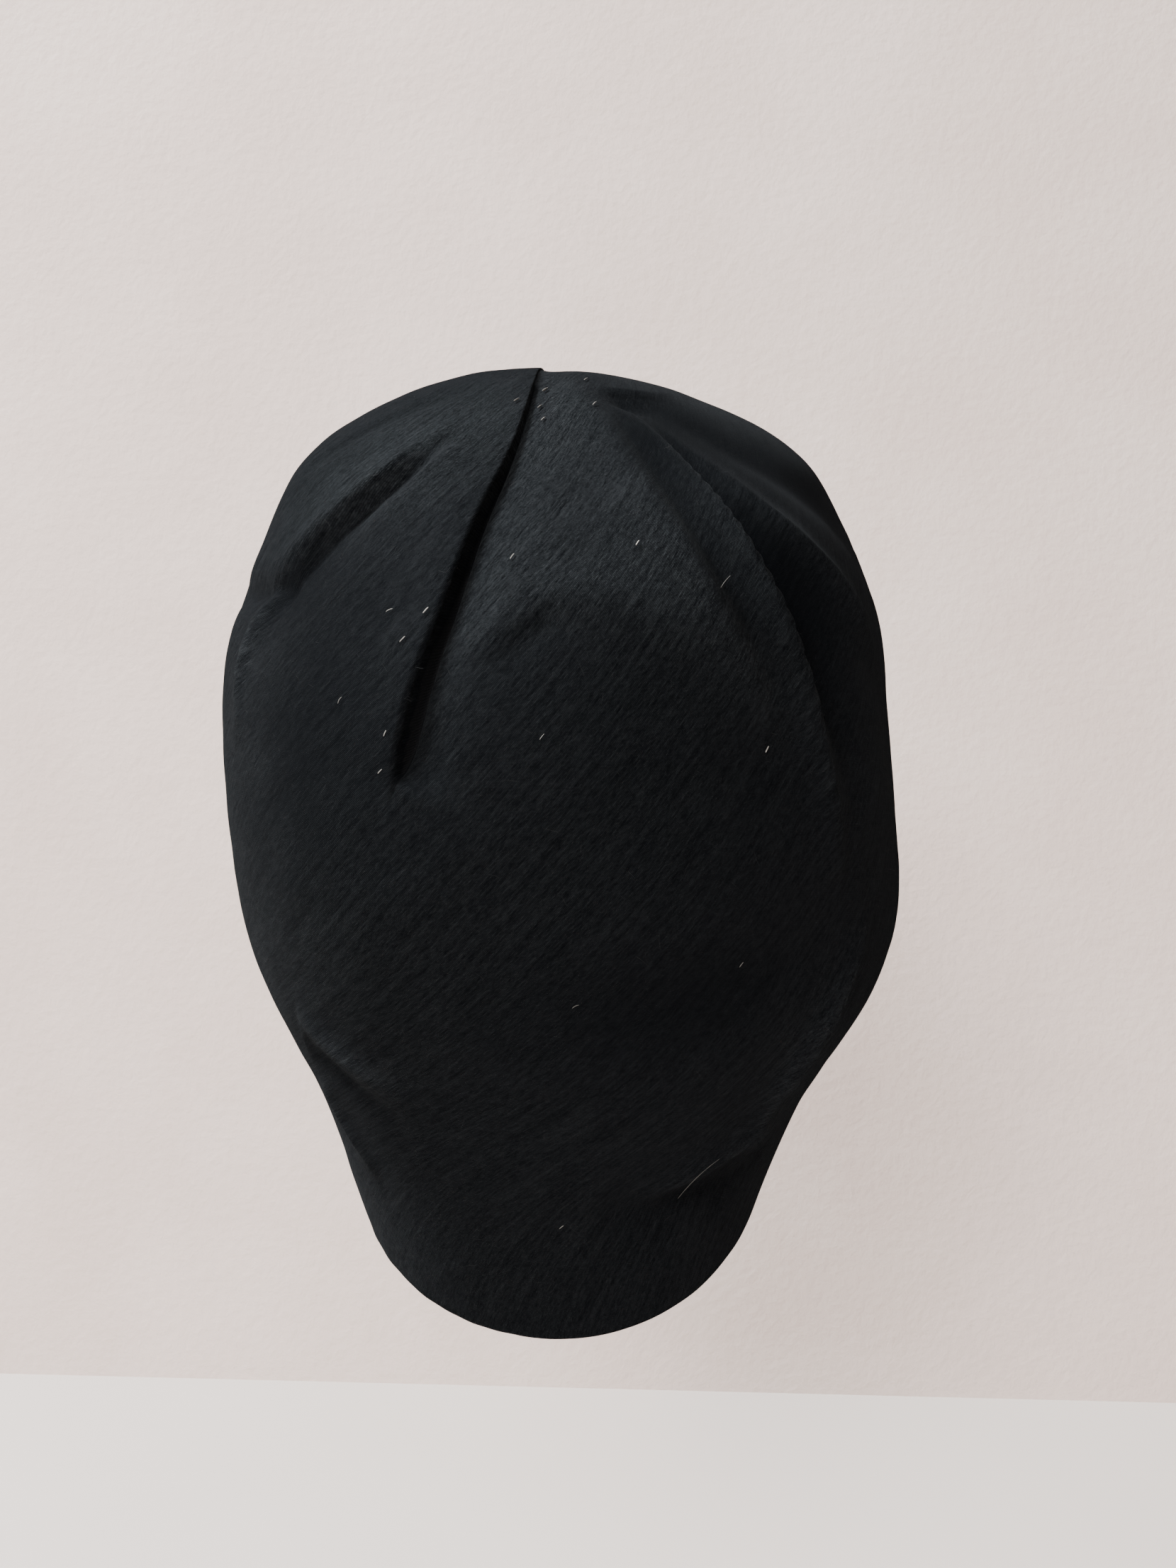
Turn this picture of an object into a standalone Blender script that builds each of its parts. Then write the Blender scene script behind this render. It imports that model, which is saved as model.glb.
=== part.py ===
"""A slim knitted beanie in the form that it takes on a head, low at the nape and higher over the brow.

The cap is one wall of double jersey, closed at the crown by a dart whose loose end falls in as a deep
pleat. It is lofted as a knitted blank: a flat grid of columns and courses, rolled round the head.
The origin is where the top of the head meets the cloth. +Z is up, the wearer faces -Y and the
wearer's left is +X. All lengths are in metres.
"""

import math
from collections import namedtuple

import bmesh
import bpy
import numpy as np

# The cap's half width, and its depth behind and before the top of the head
HALF_WIDTH = 0.084
BACK_DEPTH = 0.102
FRONT_DEPTH = 0.098

# How far the hem lies below the crown at the nape, under the ears and over the brow
NAPE_DROP = 0.218
SIDE_DROP = 0.177
BROW_DROP = 0.109

# The cloth: two layers of jersey with the hem as their fold
WALL = 0.0022
HEM_ROUNDING = 0.0008
# Edges sharper than this angle in degrees are the hem's
HEM_ANGLE = 75

JERSEY_COLOUR = (0.020, 0.022, 0.026, 1)
JERSEY_ROUGHNESS = 0.95

# What a 1 in the fold table stands for
FOLD_DEPTH = 0.006
FOLD_WIDTH = 0.010
# The lower, the more suddenly a fold begins and ends
FOLD_FADE = 0.6

# The knitted blank. The columns stand closer together over the back, most of all along the dart.
COLUMNS = 80
COURSES = 31
BACK_CROWDING = 0.50
DART_CROWDING = 0.11

# Each section is a course of the cloth, tilted down towards the nape. share runs from the crown to the
# hem. The drops are shares of NAPE_DROP, SIDE_DROP and BROW_DROP, the reaches of BACK_DEPTH and
# FRONT_DEPTH. half, aside and sway are shares of HALF_WIDTH: aside is how far the whole course lies to
# the wearer's left, and sway how much farther its back does. narrowing is how much slimmer the course
# is at the back than in the middle, and turn the angle in degrees by which its columns have swirled.
Section = namedtuple("Section", "share nape side brow back front half narrowing aside sway turn")
SECTIONS = (
    Section(0.00, 0.000, 0.000, 0.000, 0.00, 0.00, 0.00, 0.00, 0.050, 0.00, -8),
    Section(0.06, 0.004, 0.003, 0.005, 0.15, 0.11, 0.15, 0.00, 0.045, 0.00, -5),
    Section(0.12, 0.018, 0.014, 0.017, 0.31, 0.22, 0.30, 0.00, 0.040, 0.00, -1),
    Section(0.20, 0.069, 0.049, 0.039, 0.53, 0.33, 0.50, 0.00, 0.030, 0.00, 4),
    Section(0.30, 0.174, 0.121, 0.092, 0.76, 0.46, 0.71, 0.00, 0.010, 0.00, 9),
    Section(0.40, 0.282, 0.225, 0.174, 0.91, 0.61, 0.83, 0.00, -0.006, 0.00, 14),
    Section(0.50, 0.404, 0.342, 0.275, 0.99, 0.745, 0.92, 0.00, -0.005, 0.00, 19),
    Section(0.60, 0.531, 0.470, 0.400, 0.99, 0.85, 0.955, 0.00, -0.008, 0.00, 24),
    Section(0.70, 0.653, 0.601, 0.541, 0.91, 0.93, 0.980, 0.04, -0.025, 0.00, 27),
    Section(0.80, 0.765, 0.733, 0.688, 0.78, 0.975, 0.980, 0.11, -0.050, 0.02, 29),
    Section(0.90, 0.878, 0.870, 0.844, 0.66, 0.995, 0.835, 0.17, -0.044, 0.05, 30),
    Section(1.00, 1.000, 1.000, 1.000, 0.57, 0.995, 0.640, -0.03, -0.022, 0.02, 30),
)

# Each fold runs through three places on the cloth, given as an angle in degrees from the middle of the
# back towards the wearer's left, and a share of the way from crown to hem. depth is a share of
# FOLD_DEPTH, below 0 for a ridge. left and right are its half widths on either side, in shares of
# FOLD_WIDTH, peak is where along its way it is strongest, and lean, a share of FOLD_DEPTH, is how far
# the cloth on its left hangs over it.
Fold = namedtuple("Fold", "name angle_0 share_0 angle_1 share_1 angle_2 share_2 depth left right peak lean")
FOLDS = (
    Fold("dart", -6, 0.04, 9, 0.30, 24, 0.60, 1.05, 0.34, 0.50, 0.72, 0.40),
    Fold("dart lip", 12, 0.07, 16, 0.29, 31, 0.57, -0.25, 0.90, 0.45, 0.62, 0.0),
    Fold("left valley", 20, 0.23, 42, 0.38, 84, 0.45, 0.75, 0.60, 0.80, 0.65, 0.0),
    Fold("left ridge above", 22, 0.20, 46, 0.33, 84, 0.395, -0.30, 0.80, 0.70, 0.60, 0.0),
    Fold("left ridge below", 44, 0.44, 66, 0.49, 90, 0.53, -0.25, 0.70, 0.90, 0.55, 0.0),
    Fold("panel edge", -12, 0.18, -25, 0.38, -38, 0.54, -0.25, 0.80, 0.35, 0.60, 0.0),
    Fold("panel valley", -20, 0.23, -25, 0.35, -33, 0.46, 0.40, 0.35, 0.45, 0.50, 0.0),
    Fold("right ridge", -23, 0.24, -38, 0.44, -49, 0.67, -0.40, 0.45, 0.45, 0.45, 0.0),
    Fold("right valley", -27, 0.24, -41, 0.40, -54, 0.60, 0.85, 0.55, 0.70, 0.45, 0.0),
    Fold("far ridge", -30, 0.22, -48, 0.365, -74, 0.47, -0.45, 0.45, 0.45, 0.50, 0.0),
    Fold("right hollow", -60, 0.46, -70, 0.54, -68, 0.63, 0.30, 1.20, 1.20, 0.45, 0.0),
    Fold("nape dent", 66, 0.79, 44, 0.82, 20, 0.82, 0.45, 0.50, 0.60, 0.35, 0.0),
    Fold("nape dent ridge", 60, 0.75, 38, 0.78, 18, 0.79, -0.20, 0.45, 0.45, 0.50, 0.0),
    Fold("right nape valley", -54, 0.68, -36, 0.76, -18, 0.87, 0.32, 0.80, 0.90, 0.55, 0.0),
    Fold("right nape ridge", -46, 0.85, -32, 0.86, -16, 0.89, -0.22, 0.50, 0.50, 0.50, 0.0),
    Fold("nape hollow", 16, 0.72, -6, 0.72, -28, 0.74, 0.25, 1.20, 1.40, 0.50, 0.0),
    Fold("short dent", -2, 0.425, 3, 0.445, 10, 0.475, 0.15, 0.40, 0.40, 0.50, 0.0),
)


def spline(shares, values, at):
    """The natural cubic through values at shares, read at the places in at."""
    shares, values = np.asarray(shares, float), np.asarray(values, float)
    steps, slopes = np.diff(shares), np.diff(values) / np.diff(shares)
    matrix = np.eye(len(shares))
    bends = np.zeros(len(shares))
    for i in range(1, len(shares) - 1):
        matrix[i, i - 1 : i + 2] = steps[i - 1], 2 * (steps[i - 1] + steps[i]), steps[i]
        bends[i] = 6 * (slopes[i] - slopes[i - 1])
    bends = np.linalg.solve(matrix, bends)
    i = np.clip(np.searchsorted(shares, at, side="right") - 1, 0, len(steps) - 1)
    d = at - shares[i]
    linear = slopes[i] - steps[i] * (2 * bends[i] + bends[i + 1]) / 6
    return values[i] + d * (linear + d * (bends[i] / 2 + d * (bends[i + 1] - bends[i]) / (6 * steps[i])))


def course_values():
    """For each section, the values that its outline is made of."""
    rows = []
    for s in SECTIONS:
        nape, side, brow = -NAPE_DROP * s.nape, -SIDE_DROP * s.side, -BROW_DROP * s.brow
        back, front = BACK_DEPTH * s.back, -FRONT_DEPTH * s.front
        level, slope, twist = (nape + brow + 2 * side) / 4, (nape - brow) / 2, (nape + brow - 2 * side) / 4
        middle, reach = (back + front) / 2, (back - front) / 2
        half, aside, sway = HALF_WIDTH * s.half, HALF_WIDTH * s.aside, HALF_WIDTH * s.sway
        rows.append((level, slope, twist, middle, reach, half, s.narrowing, aside, sway))
    return np.array(rows)


def cloth_points(angles, shares):
    """Points on the outer face of the smooth cap. An angle of 0 is the middle of the back, and a
    share of 0 is the crown."""
    rows = course_values()
    known = np.array([s.share for s in SECTIONS])
    # Past the crown the sections go on as their own mirror image, so the cloth runs smoothly over it
    mirrored = slice(2, 0, -1)
    signs = np.array([1, -1, 1, 1, -1, -1, -1, 1, -1])
    known = np.concatenate([-known[mirrored], known])
    rows = np.concatenate([rows[mirrored] * signs, rows])
    values = [spline(known, row, shares) for row in rows.T]
    level, slope, twist, middle, reach, half, narrowing, aside, sway = values
    x = aside + sway * np.cos(angles) + half * np.sin(angles) * (1 - narrowing * np.cos(angles))
    y = middle + reach * np.cos(angles)
    z = WALL + level + slope * np.cos(angles) + twist * np.cos(2 * angles)
    return np.stack([x, y, z], axis=-1)


def fold_shift(fold, points, normals):
    """How far one fold moves each of the points of the smooth cap."""
    along = np.linspace(0, 1, 61)
    places = (0, 0.5, 1)
    angles = np.radians(spline(places, (fold.angle_0, fold.angle_1, fold.angle_2), along))
    path = cloth_points(angles, spline(places, (fold.share_0, fold.share_1, fold.share_2), along))
    nearest = np.linalg.norm(points[:, None] - path[None], axis=2).argmin(axis=1)
    heading = np.gradient(path, axis=0)[nearest]
    heading -= normals * np.sum(heading * normals, axis=1, keepdims=True)
    heading /= np.linalg.norm(heading, axis=1, keepdims=True)
    rightward = np.cross(normals, heading)
    aside = np.sum((points - path[nearest]) * rightward, axis=1)
    away = np.linalg.norm(points - path[nearest], axis=1)
    width = FOLD_WIDTH * np.where(aside > 0, fold.right, fold.left)
    strength = np.sin(np.pi * along[nearest] ** (np.log(0.5) / np.log(fold.peak)))
    strength = np.clip(strength, 0, 1) ** FOLD_FADE
    hollow = FOLD_DEPTH * fold.depth * strength * np.exp(-((away / width) ** 2))
    over = np.where(aside < 0, away / width, 0) * np.exp((1 - (away / width) ** 2) / 2)
    lean = FOLD_DEPTH * fold.lean * strength * over
    return lean[:, None] * rightward - hollow[:, None] * normals


def knitted_blank():
    """The flat grid of columns and courses, rolled round the head, closed at the crown and folded."""
    blank = bmesh.new()
    bmesh.ops.create_grid(blank, x_segments=COLUMNS, y_segments=COURSES, size=1.0)
    flat = np.array([v.co for v in blank.verts])
    around = np.pi * flat[:, 0]
    shares = (1 - flat[:, 1]) / 2
    turns = np.radians(spline([s.share for s in SECTIONS], [s.turn for s in SECTIONS], shares))
    angles = around - BACK_CROWDING * np.sin(around) - DART_CROWDING * np.sin(2 * around)
    angles += turns * ((1 + np.cos(around)) / 2) ** 2
    for vertex, point in zip(blank.verts, cloth_points(angles, shares)):
        vertex.co = point
    bmesh.ops.remove_doubles(blank, verts=blank.verts, dist=1e-6)
    bmesh.ops.recalc_face_normals(blank, faces=blank.faces)
    blank.normal_update()
    points = np.array([v.co for v in blank.verts])
    normals = np.array([v.normal for v in blank.verts])
    folded = points + sum(fold_shift(fold, points, normals) for fold in FOLDS)
    for vertex, point in zip(blank.verts, folded):
        vertex.co = point
    return blank


def black_jersey():
    """Near-black wool jersey with a faint blue in it."""
    cloth = bpy.data.materials.new("black_jersey")
    cloth.use_nodes = True
    shader = cloth.node_tree.nodes["Principled BSDF"]
    shader.inputs["Base Color"].default_value = JERSEY_COLOUR
    shader.inputs["Roughness"].default_value = JERSEY_ROUGHNESS
    return cloth


def build():
    for old in list(bpy.data.objects):
        bpy.data.objects.remove(old)
    beanie = bpy.data.collections.new("beanie")
    bpy.context.scene.collection.children.link(beanie)

    blank = knitted_blank()
    mesh = bpy.data.meshes.new("knit_cap")
    blank.to_mesh(mesh)
    blank.free()
    mesh.shade_smooth()
    mesh.materials.append(black_jersey())
    cap = bpy.data.objects.new("knit_cap", mesh)
    beanie.objects.link(cap)

    wall = cap.modifiers.new("wall", "SOLIDIFY")
    wall.thickness = WALL
    wall.offset = -1
    wall.use_even_offset = True

    hem = cap.modifiers.new("hem fold", "BEVEL")
    hem.limit_method = "ANGLE"
    hem.angle_limit = math.radians(HEM_ANGLE)
    hem.width = HEM_ROUNDING
    hem.segments = 2


build()
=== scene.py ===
"""The look of the knitted beanie: its cloth in full detail, the fuzz on it, a plain backdrop and the light.

Lengths are in metres in the model's own frame: +Z is up, the wearer faces -Y, and +X is the wearer's
left. A place on the cloth is an angle in degrees from the middle of the back towards the wearer's left,
and a share of the way from crown to hem.
"""

import math
from collections import namedtuple

import bmesh
import bpy
import numpy as np
from mathutils import Matrix, Vector, noise


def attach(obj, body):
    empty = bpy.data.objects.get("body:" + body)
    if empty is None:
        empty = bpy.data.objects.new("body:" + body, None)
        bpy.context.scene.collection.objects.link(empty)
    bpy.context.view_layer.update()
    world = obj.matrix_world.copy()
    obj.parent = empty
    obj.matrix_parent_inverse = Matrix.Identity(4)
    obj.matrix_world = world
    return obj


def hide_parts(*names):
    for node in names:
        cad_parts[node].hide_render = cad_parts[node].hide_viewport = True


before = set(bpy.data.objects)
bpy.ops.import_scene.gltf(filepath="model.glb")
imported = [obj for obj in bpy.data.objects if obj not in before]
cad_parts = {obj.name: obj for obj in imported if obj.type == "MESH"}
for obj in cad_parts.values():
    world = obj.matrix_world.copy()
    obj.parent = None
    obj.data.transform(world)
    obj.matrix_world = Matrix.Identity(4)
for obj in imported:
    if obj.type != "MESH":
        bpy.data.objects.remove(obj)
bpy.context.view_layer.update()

# The cap's half width, its depth behind and before the top of the head, and its drops below the crown
HALF_WIDTH = 0.084
BACK_DEPTH = 0.102
FRONT_DEPTH = 0.098
NAPE_DROP = 0.218
SIDE_DROP = 0.177
BROW_DROP = 0.109
WALL = 0.0022

# What a 1 in the fold tables stands for, and how suddenly a fold ends
FOLD_DEPTH = 0.006
FOLD_WIDTH = 0.010
FOLD_FADE = 0.6

# The fine grid of the cloth, and how much closer its columns stand over the back and along the dart
COLUMNS = 340
COURSES = 232
HEM_COURSES = 5
LINING_STEP = 5
BACK_CROWDING = 0.50
DART_CROWDING = 0.13

# The knitting: wales round the cap, the length of one course, and the length that the cloth's own
# map takes as 1
WALES = 1300
COURSE_PITCH = 0.0005
MAP_LENGTH = 0.3

Section = namedtuple("Section", "share nape side brow back front half narrowing aside sway turn")
SECTIONS = (
    Section(0.00, 0.000, 0.000, 0.000, 0.00, 0.00, 0.00, 0.00, 0.050, 0.00, -8),
    Section(0.06, 0.004, 0.003, 0.005, 0.15, 0.11, 0.15, 0.00, 0.045, 0.00, -5),
    Section(0.12, 0.018, 0.014, 0.017, 0.31, 0.22, 0.30, 0.00, 0.040, 0.00, -1),
    Section(0.20, 0.069, 0.049, 0.039, 0.53, 0.33, 0.50, 0.00, 0.030, 0.00, 4),
    Section(0.30, 0.174, 0.121, 0.092, 0.76, 0.46, 0.71, 0.00, 0.010, 0.00, 9),
    Section(0.40, 0.282, 0.225, 0.174, 0.91, 0.61, 0.83, 0.00, -0.006, 0.00, 14),
    Section(0.50, 0.404, 0.342, 0.275, 0.99, 0.745, 0.92, 0.00, -0.005, 0.00, 19),
    Section(0.60, 0.531, 0.470, 0.400, 0.99, 0.85, 0.955, 0.00, -0.008, 0.00, 24),
    Section(0.70, 0.653, 0.601, 0.541, 0.91, 0.93, 0.980, 0.04, -0.025, 0.00, 27),
    Section(0.80, 0.765, 0.733, 0.688, 0.78, 0.975, 0.980, 0.11, -0.050, 0.02, 29),
    Section(0.90, 0.878, 0.870, 0.844, 0.66, 0.995, 0.835, 0.17, -0.044, 0.05, 30),
    Section(1.00, 1.000, 1.000, 1.000, 0.57, 0.995, 0.640, -0.03, -0.022, 0.02, 30),
)

# Each fold runs through three places on the cloth. depth is a share of FOLD_DEPTH, below 0 for a ridge.
# left and right are its widths on either side, in shares of FOLD_WIDTH, peak is where along its way it is
# strongest, and round how rounded its line is, as a share of its width.
Fold = namedtuple("Fold", "name angle_0 share_0 angle_1 share_1 angle_2 share_2 depth left right peak round")
# The dart as the lining has it, behind the rolled edge that shows
LINING_DART = Fold("dart", -6, 0.04, 9, 0.30, 24, 0.60, 1.55, 0.75, 0.50, 0.72, 1.0)
FOLDS = (
    Fold("upper left valley", 20, 0.256, 29, 0.304, 41, 0.360, 0.18, 0.14, 0.18, 0.50, 0.35),
    Fold("left valley", 25, 0.282, 42, 0.364, 57, 0.462, 0.36, 0.15, 0.90, 0.55, 0.25),
    Fold("left hollow", 34, 0.33, 48, 0.41, 66, 0.49, 0.22, 0.50, 0.90, 0.55, 1.0),
    Fold("left ridge above", 22, 0.250, 38, 0.328, 60, 0.437, -0.30, 0.60, 0.18, 0.55, 0.15),
    Fold("left valley lip", 20, 0.272, 27, 0.318, 35, 0.365, -0.22, 0.18, 0.60, 0.50, 0.25),
    Fold("left edge notch", 50, 0.418, 62, 0.438, 86, 0.465, 0.42, 0.35, 0.40, 0.50, 0.40),
    Fold("left edge ridge", 55, 0.43, 59.5, 0.485, 57, 0.56, -0.36, 0.36, 0.32, 0.40, 0.30),
    Fold("top left groove", 62, 0.315, 46, 0.246, 20, 0.185, 0.20, 0.30, 0.45, 0.50, 0.40),
    Fold("panel edge", -9.5, 0.18, -20.5, 0.36, -32.5, 0.53, -0.55, 1.20, 0.60, 0.62, 0.20),
    Fold("panel valley", -16, 0.21, -24, 0.36, -34, 0.50, 0.30, 0.35, 0.55, 0.50, 0.35),
    Fold("right ridge", -22.5, 0.22, -35.5, 0.42, -46, 0.65, -0.75, 0.50, 0.32, 0.42, 0.28),
    Fold("right valley", -21.5, 0.20, -39, 0.395, -52, 0.61, 0.90, 0.40, 0.90, 0.42, 0.35),
    Fold("far ridge", -26, 0.225, -45, 0.368, -68, 0.505, -0.60, 0.45, 0.42, 0.50, 0.35),
    Fold("beyond the far ridge", -32, 0.20, -54, 0.310, -84, 0.43, 0.35, 0.60, 1.10, 0.50, 0.80),
    Fold("panel foot", 21, 0.51, -4, 0.415, -31, 0.51, -0.40, 1.30, 1.30, 0.50, 0.25),
    Fold("right hollow", -60, 0.46, -70, 0.54, -68, 0.63, 0.30, 1.20, 1.20, 0.45, 1.0),
    Fold("nape dent", 49, 0.806, 39, 0.818, 28, 0.830, 0.30, 0.36, 0.50, 0.40, 0.50),
    Fold("nape dent ridge", 48, 0.772, 37, 0.790, 24, 0.803, -0.30, 0.50, 0.34, 0.45, 0.35),
    Fold("nape side ridge", 50, 0.840, 47, 0.872, 41, 0.910, -0.26, 0.30, 0.30, 0.50, 0.35),
    Fold("right nape valley", -50, 0.70, -26, 0.70, 0, 0.71, 0.30, 1.00, 1.00, 0.50, 0.60),
    Fold("right nape ridge", -55, 0.70, -41.5, 0.79, -38, 0.87, -0.55, 0.36, 0.26, 0.50, 0.25),
    Fold("low right ridge", -46, 0.858, -32, 0.870, -20, 0.893, -0.48, 0.42, 0.22, 0.50, 0.22),
    Fold("low right valley", -50, 0.91, -30, 0.905, -8, 0.885, 0.40, 0.60, 0.55, 0.50, 0.45),
    Fold("nape hollow", 16, 0.72, -6, 0.72, -28, 0.74, 0.25, 1.20, 1.40, 0.50, 1.0),
    Fold("short dent", -2, 0.425, 3, 0.445, 10, 0.475, 0.15, 0.40, 0.40, 0.50, 0.40),
    Fold("thin right ridge", -36, 0.50, -42, 0.57, -47, 0.66, -0.14, 0.16, 0.14, 0.50, 0.30),
)

# The dart: its left edge rolls over and tucks under, a dark gap lies open beside it, and the cloth on its
# right starts lower. roll is the radius of the left edge, gap how wide the dart is open, deep how far its
# ground lies below, lip how far the left edge stands up and step how far the right one lies below, all in
# shares of FOLD_DEPTH.
DartPlace = namedtuple("DartPlace", "angle share roll gap deep lip step")
DART = (
    DartPlace(-6.0, 0.040, 0.04, 0.00, 0.10, 0.02, 0.04),
    DartPlace(-0.5, 0.120, 0.05, 0.00, 0.14, 0.03, 0.12),
    DartPlace(2.0, 0.182, 0.06, 0.00, 0.18, 0.05, 0.22),
    DartPlace(5.9, 0.263, 0.08, 0.03, 0.40, 0.08, 0.28),
    DartPlace(11.2, 0.335, 0.12, 0.10, 0.65, 0.12, 0.36),
    DartPlace(14.9, 0.410, 0.17, 0.16, 0.80, 0.15, 0.42),
    DartPlace(17.8, 0.475, 0.20, 0.26, 0.85, 0.16, 0.42),
    DartPlace(20.2, 0.530, 0.18, 0.25, 0.70, 0.10, 0.40),
    DartPlace(21.3, 0.550, 0.04, 0.02, 0.06, 0.00, 0.00),
)
# How far round the rolled edge goes, in radians, how far its pull reaches to the left, and how far the
# dart's right side and the rounding of its right edge reach
ROLL_SWEEP = 2.0
ROLL_PULL = 0.012
STEP_REACH = 0.008
EDGE_REACH = 0.0013

# The panel right of the dart, made lighter as painted light: its sides, each with the panel on its right, as places
# on the cloth and how softly it ends there, in metres
LIT_PANEL_SIDES = (
    (((-6, 0.040), (6.4, 0.263), (17.7, 0.475), (24, 0.600)), 0.0006),
    (((-39, 0.600), (-31.5, 0.510), (-20.5, 0.370), (-8, 0.120)), 0.0014),
    (((40, 0.600), (12, 0.455), (-6, 0.425), (-23, 0.460), (-50, 0.600)), 0.0022),
)

# Soft patches where the cloth is made lighter or darker: mostly painted light where light falls and painted shade in
# hollows and on faces turned from the light, a few small ones on the left greyer rubbed cloth. Where, how far they
# reach round and down, and by how much
Zone = namedtuple("Zone", "name angle share half_angle half_share wear")
ZONES = (
    Zone("left of the dart", 30, 0.28, 20, 0.08, 0.48),
    Zone("in the left hollow", 46, 0.415, 13, 0.055, -0.20),
    Zone("left side", 38, 0.54, 16, 0.11, -0.26),
    Zone("left rim", 60, 0.52, 7, 0.12, 0.16),
    Zone("left valley floor", 53, 0.430, 6, 0.025, -0.14),
    Zone("left low", 42, 0.70, 14, 0.06, 0.12),
    Zone("beyond the far ridge", -62, 0.31, 26, 0.07, -0.34),
    Zone("right of the panel", -23, 0.262, 7, 0.045, -0.26),
    Zone("high on the right", -37, 0.240, 13, 0.045, -0.24),
    Zone("right valley", -44, 0.42, 9, 0.08, -0.32),
    Zone("panel edge", -22.0, 0.400, 3, 0.050, 0.18),
    Zone("low panel edge", -30.5, 0.483, 3, 0.030, 0.42),
    Zone("left edge patch", 58, 0.49, 3, 0.025, 0.20),
    Zone("left patch", 49, 0.568, 4, 0.018, 0.24),
    Zone("lower left patch", 42, 0.620, 4, 0.022, 0.20),
    Zone("nape side", 36, 0.786, 9, 0.012, 0.45),
    Zone("low right ridges", -42, 0.80, 7, 0.08, 0.22),
    Zone("low right hollow", -24, 0.705, 26, 0.045, -0.11),
)

# How far the wales have turned round the head, in degrees, at each share
Swirl = namedtuple("Swirl", "share turn")
SWIRLS = (
    Swirl(0.0, 0), Swirl(0.12, 26), Swirl(0.2, 43), Swirl(0.3, 62), Swirl(0.4, 78), Swirl(0.5, 94),
    Swirl(0.6, 111), Swirl(0.7, 129), Swirl(0.8, 150), Swirl(0.9, 175), Swirl(1.0, 190),
)


def spline(shares, values, at):
    """The natural cubic through values at shares, read at the places in at."""
    shares, values = np.asarray(shares, float), np.asarray(values, float)
    steps, slopes = np.diff(shares), np.diff(values) / np.diff(shares)
    matrix = np.eye(len(shares))
    bends = np.zeros(len(shares))
    for i in range(1, len(shares) - 1):
        matrix[i, i - 1 : i + 2] = steps[i - 1], 2 * (steps[i - 1] + steps[i]), steps[i]
        bends[i] = 6 * (slopes[i] - slopes[i - 1])
    bends = np.linalg.solve(matrix, bends)
    i = np.clip(np.searchsorted(shares, at, side="right") - 1, 0, len(steps) - 1)
    d = at - shares[i]
    linear = slopes[i] - steps[i] * (2 * bends[i] + bends[i + 1]) / 6
    return values[i] + d * (linear + d * (bends[i] / 2 + d * (bends[i + 1] - bends[i]) / (6 * steps[i])))


def course_values():
    """For each section, the values that its outline is made of."""
    rows = []
    for s in SECTIONS:
        nape, side, brow = -NAPE_DROP * s.nape, -SIDE_DROP * s.side, -BROW_DROP * s.brow
        back, front = BACK_DEPTH * s.back, -FRONT_DEPTH * s.front
        level, slope, twist = (nape + brow + 2 * side) / 4, (nape - brow) / 2, (nape + brow - 2 * side) / 4
        middle, reach = (back + front) / 2, (back - front) / 2
        half, aside, sway = HALF_WIDTH * s.half, HALF_WIDTH * s.aside, HALF_WIDTH * s.sway
        rows.append((level, slope, twist, middle, reach, half, s.narrowing, aside, sway))
    return np.array(rows)


def cloth_points(angles, shares):
    """Points on the outer face of the smooth cap."""
    rows = course_values()
    known = np.array([s.share for s in SECTIONS])
    # Past the crown the sections go on as their own mirror image, so the cloth runs smoothly over it
    mirrored = slice(2, 0, -1)
    signs = np.array([1, -1, 1, 1, -1, -1, -1, 1, -1])
    known = np.concatenate([-known[mirrored], known])
    rows = np.concatenate([rows[mirrored] * signs, rows])
    values = [spline(known, row, shares) for row in rows.T]
    level, slope, twist, middle, reach, half, narrowing, aside, sway = values
    x = aside + sway * np.cos(angles) + half * np.sin(angles) * (1 - narrowing * np.cos(angles))
    y = middle + reach * np.cos(angles)
    z = WALL + level + slope * np.cos(angles) + twist * np.cos(2 * angles)
    return np.stack([x, y, z], axis=-1)


def smooth_path(places, count):
    """Points on the smooth cap along the curve through places, each an (angle in degrees, share)."""
    along = np.linspace(0, 1, count)
    knots = np.linspace(0, 1, len(places))
    angles = np.radians(spline(knots, [p[0] for p in places], along))
    return along, cloth_points(angles, spline(knots, [p[1] for p in places], along))


def beside(path, along, points, normals):
    """Where points lie beside a path: how far along it, aside to its right, away from it, and which way
    is right."""
    nearest = np.linalg.norm(points[:, None] - path[None], axis=2).argmin(axis=1)
    heading = np.gradient(path, axis=0)[nearest]
    step = np.linalg.norm(heading, axis=1)
    ahead = np.sum((points - path[nearest]) * heading, axis=1) / step**2
    ahead = np.clip(ahead, -0.5, 0.5)
    foot = path[nearest] + heading * ahead[:, None]
    here = np.clip(along[nearest] + ahead * (along[1] - along[0]), 0, 1)
    heading = heading - normals * np.sum(heading * normals, axis=1, keepdims=True)
    heading /= np.linalg.norm(heading, axis=1, keepdims=True)
    rightward = np.cross(normals, heading)
    gap = points - foot
    return here, np.sum(gap * rightward, axis=1), np.linalg.norm(gap, axis=1), rightward


def within(path, reach, points):
    """Which points lie in the box round a path, widened by reach."""
    return np.all((points > path.min(axis=0) - reach) & (points < path.max(axis=0) + reach), axis=1)


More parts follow.
